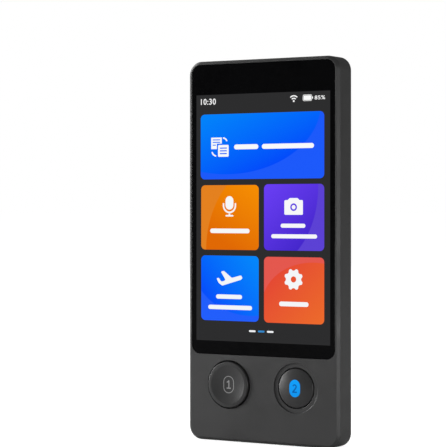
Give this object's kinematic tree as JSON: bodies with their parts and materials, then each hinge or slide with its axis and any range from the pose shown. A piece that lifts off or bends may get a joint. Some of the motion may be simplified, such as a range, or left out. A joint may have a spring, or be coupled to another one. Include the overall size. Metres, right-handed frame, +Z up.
{
  "type": "handheld translator",
  "caption": "Slim handheld voice translator with a touch screen above two round talk buttons, side keys, a rear camera window and a rear speaker grille.",
  "frame": {"origin": "centre of the charging port's mouth, in the middle of the flat bottom face", "axes": "+X to the right seen from the front, +Y from the front face to the back, +Z up along the body"},
  "size_m": [0.06, 0.0116, 0.132],
  "materials": {
    "case_plastic": "fine matte texture",
    "cover_glass": "polished",
    "display": "lit display",
    "dark_window": "polished dark",
    "light_window": "frosted translucent",
    "lit_window": "lit blue",
    "black_plastic": "matte",
    "black_rubber": "matte",
    "black_tape": "matte film",
    "circuit_board": "solder mask",
    "battery_pouch": "laminated foil",
    "flex": "polyimide film",
    "steel": "plated"
  },
  "bodies": {
    "housing": {"front_housing": "case_plastic", "rear_cover": "case_plastic", "cover_glass": "cover_glass", "glass_tape": "black_tape", "lcd_cell": "display", "backlight_unit": "steel", "display_flex": "flex", "main_board": "circuit_board", "button_board": "circuit_board", "board_screws": "steel", "processor_shield": "steel", "radio_shield": "steel", "board_connectors": "black_plastic", "battery_cell": "battery_pouch", "battery_tape": "black_tape", "battery_flex": "flex", "link_flex": "flex", "button_leds": "light_window", "usb_receptacle": "steel", "bottom_microphone": "steel", "bottom_mic_boot": "black_rubber", "rear_microphone": "steel", "rear_mic_boot": "black_rubber", "speaker_box": "black_plastic", "speaker_gasket": "black_rubber", "speaker_mesh": "steel", "side_switches": "steel", "side_key_flex": "flex", "side_key_bracket": "steel", "camera_module": "black_plastic", "camera_lens": "cover_glass", "camera_window": "dark_window", "flash_led": "light_window", "flash_diffuser": "light_window", "wifi_antenna": "flex", "antenna_spring": "steel", "left_switch_body": "steel", "right_switch_body": "steel"},
    "left_button": {"left_button_cap": "case_plastic", "left_button_lens": "light_window", "left_switch_plunger": "black_plastic"},
    "right_button": {"right_button_cap": "case_plastic", "right_button_lens": "lit_window", "right_switch_plunger": "black_plastic"},
    "power_key": {"power_key": "case_plastic", "power_plunger": "black_plastic"},
    "volume_up_key": {"volume_up_key": "case_plastic", "volume_up_plunger": "black_plastic"},
    "volume_down_key": {"volume_down_key": "case_plastic", "volume_down_plunger": "black_plastic"}
  },
  "joints": [
    {"name": "left_button_press", "type": "slide", "parent": "housing", "child": "left_button", "axis": [0, 1, 0], "range_m": [0, 0.0005], "stiffness_N_per_m": 2500},
    {"name": "right_button_press", "type": "slide", "parent": "housing", "child": "right_button", "axis": [0, 1, 0], "range_m": [0, 0.0005], "stiffness_N_per_m": 2500},
    {"name": "power_key_press", "type": "slide", "parent": "housing", "child": "power_key", "axis": [1, 0, 0], "range_m": [0, 0.00035], "stiffness_N_per_m": 4000},
    {"name": "volume_up_press", "type": "slide", "parent": "housing", "child": "volume_up_key", "axis": [1, 0, 0], "range_m": [0, 0.00035], "stiffness_N_per_m": 4000},
    {"name": "volume_down_press", "type": "slide", "parent": "housing", "child": "volume_down_key", "axis": [1, 0, 0], "range_m": [0, 0.00035], "stiffness_N_per_m": 4000}
  ]
}
